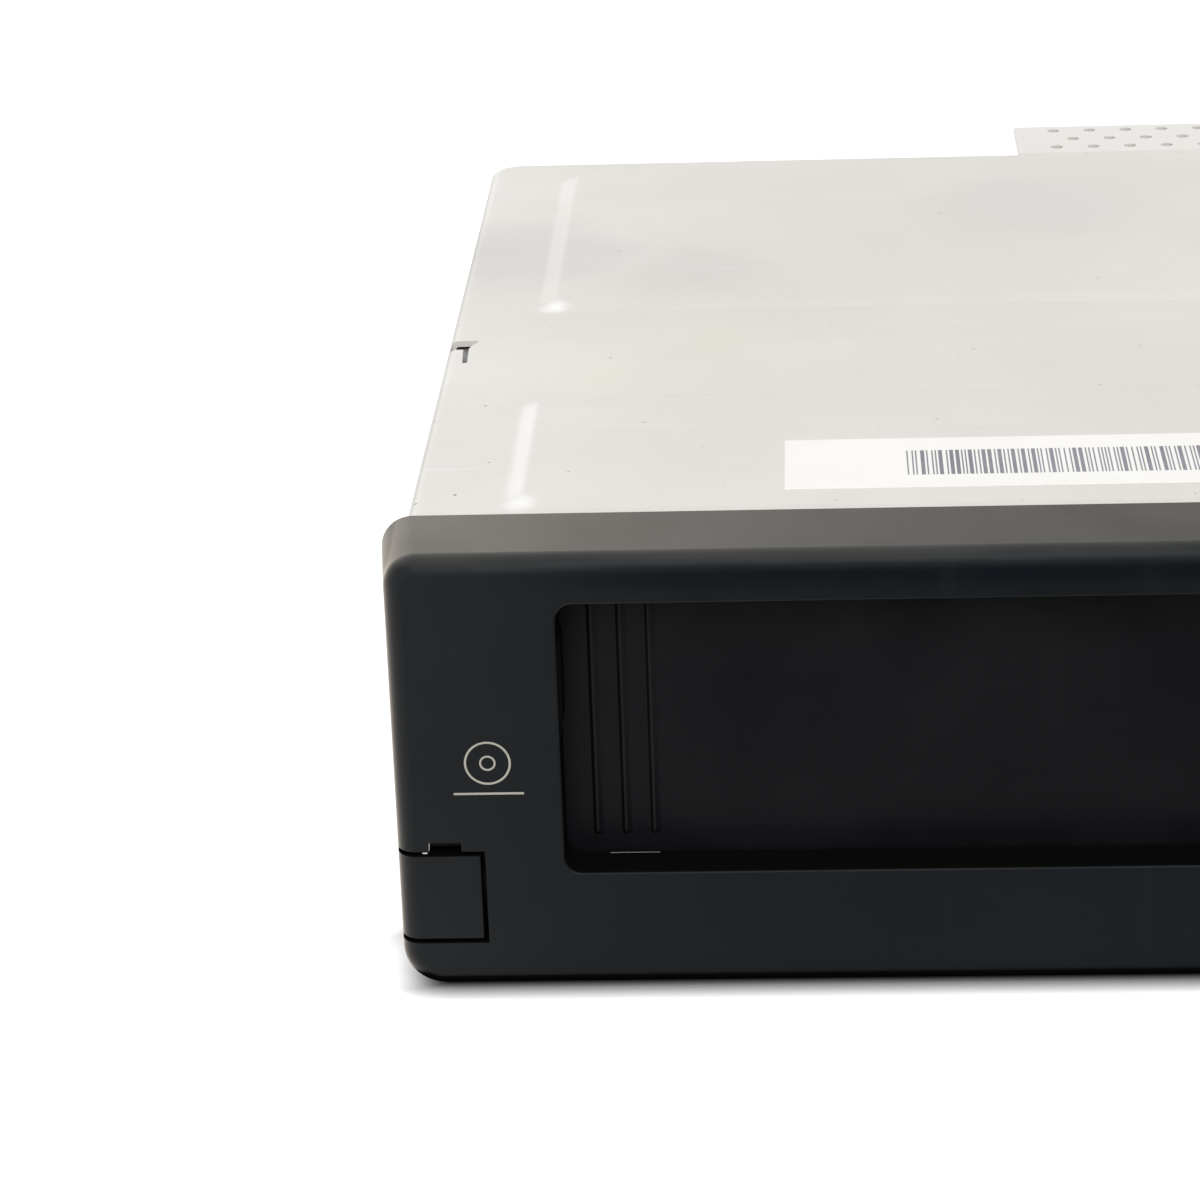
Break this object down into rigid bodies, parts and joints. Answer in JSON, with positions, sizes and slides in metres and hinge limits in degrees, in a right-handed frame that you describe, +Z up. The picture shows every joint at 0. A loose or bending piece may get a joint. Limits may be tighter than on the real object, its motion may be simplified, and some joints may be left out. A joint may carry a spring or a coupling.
{
  "type": "car disc changer",
  "caption": "Slim box with a black bezel, a sliding door over a disc magazine, a grey sheet-metal case and a lifting disc drive inside.",
  "frame": {"origin": "under the middle of the whole box, on the surface that it stands on", "axes": "+X to the right along the bezel, +Y from the bezel to the rear, +Z up"},
  "size_m": [0.2648, 0.202, 0.0602],
  "materials": {
    "bezel_black": "fine-grained blue-black moulding",
    "door_black": "satin black moulding",
    "inner_dark": "matt moulding",
    "tray_grey": "satin moulding",
    "white_nylon": "natural nylon",
    "case_sheet": "satin light grey sheet with faint stains and scratches",
    "steel": "zinc-plated",
    "brass": "satin",
    "rubber": "matt",
    "board_green": "solder mask on glass-fibre board",
    "ribbon_white": "flat ribbon",
    "label_paper": "coated paper label with plain bars",
    "lens_blue": "coated lens"
  },
  "bodies": {
    "housing": {"front_bezel": "bezel_black", "door_rail_lower": "inner_dark", "door_rail_upper": "inner_dark", "mouth_frame": "inner_dark", "top_cover": "case_sheet", "lower_chassis": "steel", "rear_housing": "case_sheet", "rear_socket": "inner_dark", "socket_pins": "brass", "product_label": "label_paper", "cover_screw_1": "steel", "cover_screw_2": "steel", "cover_screw_3": "steel", "cover_screw_4": "steel", "mounting_nut_1": "brass", "mounting_nut_2": "brass", "mounting_nut_3": "brass", "mounting_nut_4": "brass", "magazine_guide": "inner_dark", "mechanism_frame": "steel", "rubber_damper_1": "rubber", "rubber_damper_2": "rubber", "rubber_damper_3": "rubber", "rubber_damper_4": "rubber", "lift_motor": "steel", "main_board": "board_green", "ribbon_cable": "ribbon_white"},
    "cap": {"corner_cap": "bezel_black"},
    "door_front": {"door_front_leaf": "door_black"},
    "door_rear": {"door_rear_leaf": "door_black"},
    "eject": {"eject_button": "tray_grey"},
    "magazine": {"magazine_case": "bezel_black", "disc_tray_1": "tray_grey", "disc_tray_2": "tray_grey", "disc_tray_3": "tray_grey", "disc_tray_4": "tray_grey", "disc_tray_5": "tray_grey"},
    "top_tray": {"disc_tray_6": "tray_grey"},
    "carriage": {"carriage_plate": "steel", "spindle_motor": "steel", "guide_rod_1": "steel", "guide_rod_2": "steel", "sled_motor": "steel", "clamp_arm_pin": "steel"},
    "plate_front": {"lift_plate_front": "steel"},
    "plate_rear": {"lift_plate_rear": "steel"},
    "gear": {"lift_gear": "white_nylon"},
    "worm": {"lift_worm": "brass"},
    "table": {"turntable": "inner_dark"},
    "clamp": {"clamp_arm": "steel"},
    "puck": {"clamp_puck": "white_nylon"},
    "pickup": {"optical_pickup": "inner_dark", "pickup_lens": "lens_blue"},
    "screw": {"lead_screw": "brass"},
    "dial_left": {"angle_dial_left": "inner_dark"},
    "dial_right": {"angle_dial_right": "inner_dark"}
  },
  "joints": [
    {"name": "door_slide", "type": "slide", "parent": "housing", "child": "door_front", "axis": [1, 0, 0], "range_m": [0, 0.15]},
    {"name": "door_rear_slide", "type": "slide", "parent": "housing", "child": "door_rear", "axis": [1, 0, 0], "range_m": [0, 0.0651]},
    {"name": "cap_pull", "type": "slide", "parent": "housing", "child": "cap", "axis": [0, -1, 0], "range_m": [0, 0.02]},
    {"name": "eject_press", "type": "slide", "parent": "housing", "child": "eject", "axis": [0, 1, 0], "range_m": [0, 0.003], "stiffness_N_per_m": 300, "springref_m": -0.002},
    {"name": "magazine_slide", "type": "slide", "parent": "housing", "child": "magazine", "axis": [0, -1, 0], "range_m": [0, 0.006]},
    {"name": "tray_slide", "type": "slide", "parent": "magazine", "child": "top_tray", "axis": [1, 0, 0], "range_m": [0, 0.102]},
    {"name": "carriage_lift", "type": "slide", "parent": "housing", "child": "carriage", "axis": [0, 0, 1], "range_m": [-0.0225, 0]},
    {"name": "plate_front_slide", "type": "slide", "parent": "housing", "child": "plate_front", "axis": [1, 0, 0], "range_m": [0, 0.0226]},
    {"name": "plate_rear_slide", "type": "slide", "parent": "housing", "child": "plate_rear", "axis": [1, 0, 0], "range_m": [0, 0.0226]},
    {"name": "lift_gear_turn", "type": "hinge", "parent": "housing", "child": "gear", "pos_m": [0.061, 0.06975, 0.0326], "axis": [0, 1, 0], "range_deg": [-216, 0]},
    {"name": "lift_worm_turn", "type": "hinge", "parent": "housing", "child": "worm", "pos_m": [0.061, 0.06975, 0.0205], "axis": [1, 0, 0], "range_deg": [-1290, 0]},
    {"name": "turntable_spin", "type": "hinge", "parent": "carriage", "child": "table", "pos_m": [0.061, -0.01195, 0.04], "axis": [0, 0, 1], "continuous": true},
    {"name": "clamp_lift", "type": "hinge", "parent": "carriage", "child": "clamp", "pos_m": [0.061, 0.05735, 0.0502], "axis": [1, 0, 0], "range_deg": [-3.5, 0], "stiffness_Nm_per_rad": 0.05, "springref_deg": 28.65},
    {"name": "puck_spin", "type": "hinge", "parent": "clamp", "child": "puck", "pos_m": [0.061, -0.01195, 0.048], "axis": [0, 0, 1], "continuous": true},
    {"name": "pickup_slide", "type": "slide", "parent": "carriage", "child": "pickup", "axis": [0, -1, 0], "range_m": [0, 0.031]},
    {"name": "lead_screw_turn", "type": "hinge", "parent": "carriage", "child": "screw", "pos_m": [0.081, -0.05, 0.0386], "axis": [0, 1, 0], "range_deg": [0, 3721]},
    {"name": "dial_left_turn", "type": "hinge", "parent": "housing", "child": "dial_left", "pos_m": [-0.1293, 0.00328, 0.03], "axis": [1, 0, 0], "range_deg": [0, 90]},
    {"name": "dial_right_turn", "type": "hinge", "parent": "housing", "child": "dial_right", "pos_m": [0.1293, 0.00328, 0.03], "axis": [1, 0, 0], "range_deg": [0, 90]}
  ],
  "couplings": [
    {"joint": "door_rear_slide", "follows": "door_slide", "ratio": 0.43333},
    {"joint": "plate_front_slide", "follows": "carriage_lift", "ratio": -1},
    {"joint": "plate_rear_slide", "follows": "carriage_lift", "ratio": -1},
    {"joint": "lift_gear_turn", "follows": "carriage_lift", "rad_per_m": 166.67},
    {"joint": "lift_worm_turn", "follows": "carriage_lift", "rad_per_m": 1000},
    {"joint": "lead_screw_turn", "follows": "pickup_slide", "rad_per_m": 2094.4}
  ]
}
